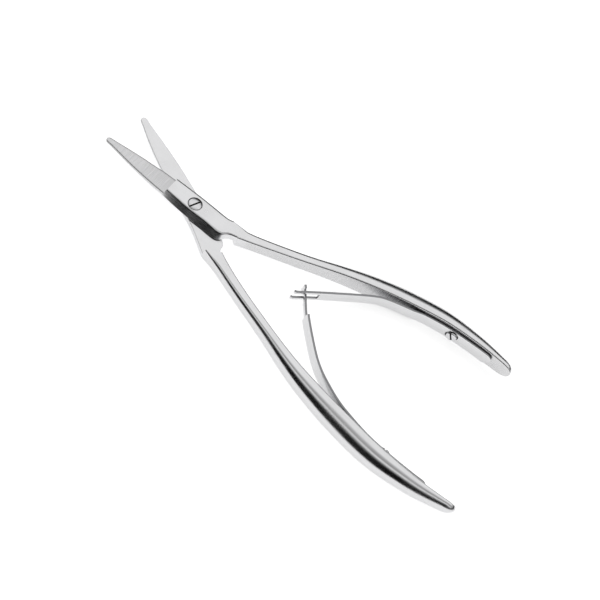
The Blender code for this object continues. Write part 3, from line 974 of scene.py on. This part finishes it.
def bend_strip(name, route, tree, settings, steel):
    """One spring strip as a plain mesh, made by the node tree on the route's points."""
    mesh = bpy.data.meshes.new(name)
    edges = [(index, index + 1) for index in range(len(route) - 1)]
    mesh.from_pydata([world(point) for point, _ in route], edges, [])
    widths = mesh.attributes.new("half_width", "FLOAT", "POINT")
    widths.data.foreach_set("value", [half_width * MM for _, half_width in route])
    piece = add_piece(name, mesh)
    bend = piece.modifiers.new("bent_spring_strip", "NODES")
    bend.node_group = tree
    ports = {item.name: item.identifier for item in tree.interface.items_tree if item.in_out == "INPUT"}
    bend[ports["Thickness"]] = settings.thickness
    bend[ports["Edge Rounding"]] = settings.edge
    bend[ports["Height of Middle"]] = DATUM.z * MM
    bend[ports["Steel"]] = steel
    return settled(piece)


class SNIPS_OT_springs(bpy.types.Operator):
    """Make the forked spring and the tongued spring"""

    bl_idname = "snips.springs"
    bl_label = "Leaf Springs"

    def execute(self, context):
        snips = context.scene.thread_snips
        settings = snips.springs
        steel = rolled_strip(settings.strip)
        sheared = sheared_edge_painted_shade(settings.sheared)
        dark = recess_painted_shade(snips.halves.recess_shade)
        tree = strip_tree()
        fork = bend_strip("fork_spring_strip", strip_route("upper_half", FORK_FREE, settings, False),
                          tree, settings, steel)
        back, front = Vector(FORK_SLOT_BACK), Vector(FORK_FREE[-2])
        heading = (front - back).normalized()
        middle = back + heading * FORK_SLOT_LENGTH / 2
        placing = Matrix.Translation((middle.x, middle.y, 0.0))
        placing = placing @ Matrix.Rotation(math.atan2(heading.y, heading.x), 4, "Z")
        size = (FORK_SLOT_LENGTH, 6.0, settings.fork_slot / MM)
        # The slot walls take the darker edge finish, whose grey is painted shade
        slot = block("fork_slot", size, placing, sheared)
        settled(fork, [slot, spring_screw_bore("upper_half", snips.screws, dark)])
        tongue = bend_strip("tongue_spring_strip", strip_route("lower_half", TONGUE_FREE, settings, True),
                            tree, settings, steel)
        settled(tongue, [spring_screw_bore("lower_half", snips.screws, dark)])
        for piece in (fork, tongue):
            shade_sheared_edges(piece, sheared)
        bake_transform(fork)
        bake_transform(tongue)
        for piece, node in ((fork, "fork_spring"), (tongue, "tongue_spring")):
            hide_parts(node)
        return {"FINISHED"}


# Stage

class SNIPS_OT_stage(bpy.types.Operator):
    """Make the floor, the soft overhead light and the camera"""

    bl_idname = "snips.stage"
    bl_label = "Stage"

    def execute(self, context):
        settings = context.scene.thread_snips.stage
        self.make_floor(settings)
        self.make_light(context, settings)
        self.make_camera(context)
        return {"FINISHED"}

    def make_floor(self, settings):
        bm = bmesh.new()
        bmesh.ops.create_grid(bm, x_segments=1, y_segments=1, size=FLOOR_HALF_SIZE)
        bmesh.ops.translate(bm, verts=bm.verts, vec=(0.0, 0.0, -FLOOR_DROP))
        mesh = bpy.data.meshes.new("floor")
        bm.to_mesh(mesh)
        bm.free()
        finish, tree = new_finish("matt_white_paper")
        shader = add_node(tree, "ShaderNodeBsdfPrincipled", {
            "Base Color": (*settings.floor, 1.0), "Roughness": 0.9, "Specular IOR Level": 0.1,
            "Emission Color": (1.0, 1.0, 1.0, 1.0), "Emission Strength": settings.glow,
        })
        add_node(tree, "ShaderNodeOutputMaterial", {"Surface": shader.outputs[0]})
        mesh.materials.append(finish)
        add_piece("floor", mesh)

    def make_light(self, context, settings):
        """Broad soft lights overhead with dark between and below them, like a small product stage."""
        sky = bpy.data.worlds.new("studio")
        context.scene.world = sky
        sky.use_nodes = True
        tree = sky.node_tree
        tree.nodes.clear()
        place = add_node(tree, "ShaderNodeTexCoord")
        aim = add_node(tree, "ShaderNodeSeparateXYZ", {0: place.outputs["Generated"]})
        across = add_node(tree, "ShaderNodeMapRange", {
            "Value": aim.outputs["X"], "From Min": -1.0, "From Max": 1.0,
        })
        lights = add_node(tree, "ShaderNodeValToRGB", {"Fac": across.outputs[0]})
        stops = lights.color_ramp.elements
        stops[0].position, stops[1].position = LIGHT_STOPS[0][0], LIGHT_STOPS[-1][0]
        for position, _ in LIGHT_STOPS[1:-1]:
            stops.new(position)
        for stop, (_, brightness) in zip(stops, LIGHT_STOPS):
            stop.color = (brightness, brightness, brightness, 1.0)
        rise = add_node(tree, "ShaderNodeMapRange", {
            "Value": aim.outputs["Z"], "From Min": 0.25, "From Max": 0.5,
            "To Min": 0.0, "To Max": settings.sky,
        }, interpolation_type="SMOOTHSTEP")
        strength = add_node(tree, "ShaderNodeMath", {
            0: rise.outputs[0], 1: lights.outputs[0],
        }, operation="MULTIPLY")
        light = add_node(tree, "ShaderNodeBackground", {
            "Color": (1.0, 1.0, 1.0, 1.0), "Strength": strength.outputs[0],
        })
        add_node(tree, "ShaderNodeOutputWorld", {"Surface": light.outputs[0]})

    def make_camera(self, context):
        lens = bpy.data.cameras.new("camera")
        lens.lens = LENS_MM
        lens.sensor_width = 36.0
        lens.clip_start = 0.01
        lens.clip_end = 20.0
        camera = bpy.data.objects.new("camera", lens)
        placing = Matrix(CAMERA_AXES).transposed().to_4x4()
        placing.translation = Vector(CAMERA_PLACE) * MM
        camera.matrix_world = placing
        context.collection.objects.link(camera)
        context.scene.camera = camera
        context.scene.view_settings.view_transform = "Standard"


class SNIPS_PT_panel(bpy.types.Panel):
    """Lists the pieces of the thread snips"""

    bl_idname = "SNIPS_PT_panel"
    bl_label = "Thread Snips"
    bl_space_type = "VIEW_3D"
    bl_region_type = "UI"
    bl_category = "Thread Snips"

    def draw(self, context):
        snips = context.scene.thread_snips
        for operator, group in PANEL_ROWS:
            box = self.layout.box()
            box.operator(operator.bl_idname)
            settings = getattr(snips, group)
            for key in settings.__annotations__:
                box.prop(settings, key)


PANEL_ROWS = (
    (SNIPS_OT_halves, "halves"),
    (SNIPS_OT_springs, "springs"),
    (SNIPS_OT_pivot_screw, "screws"),
    (SNIPS_OT_spring_screws, "screws"),
    (SNIPS_OT_stage, "stage"),
)

CLASSES = (
    HalfSettings, SpringSettings, ScrewSettings, StageSettings, SnipsSettings,
    SNIPS_OT_halves, SNIPS_OT_springs, SNIPS_OT_pivot_screw, SNIPS_OT_spring_screws, SNIPS_OT_stage,
    SNIPS_PT_panel,
)


def register():
    for item in CLASSES:
        bpy.utils.register_class(item)
    bpy.types.Scene.thread_snips = bpy.props.PointerProperty(type=SnipsSettings)


def unregister():
    del bpy.types.Scene.thread_snips
    for item in reversed(CLASSES):
        bpy.utils.unregister_class(item)


def main():
    register()
    bpy.ops.snips.halves()
    bpy.ops.snips.springs()
    bpy.ops.snips.pivot_screw()
    bpy.ops.snips.spring_screws()
    bpy.ops.snips.stage()


if __name__ == "__main__":
    main()
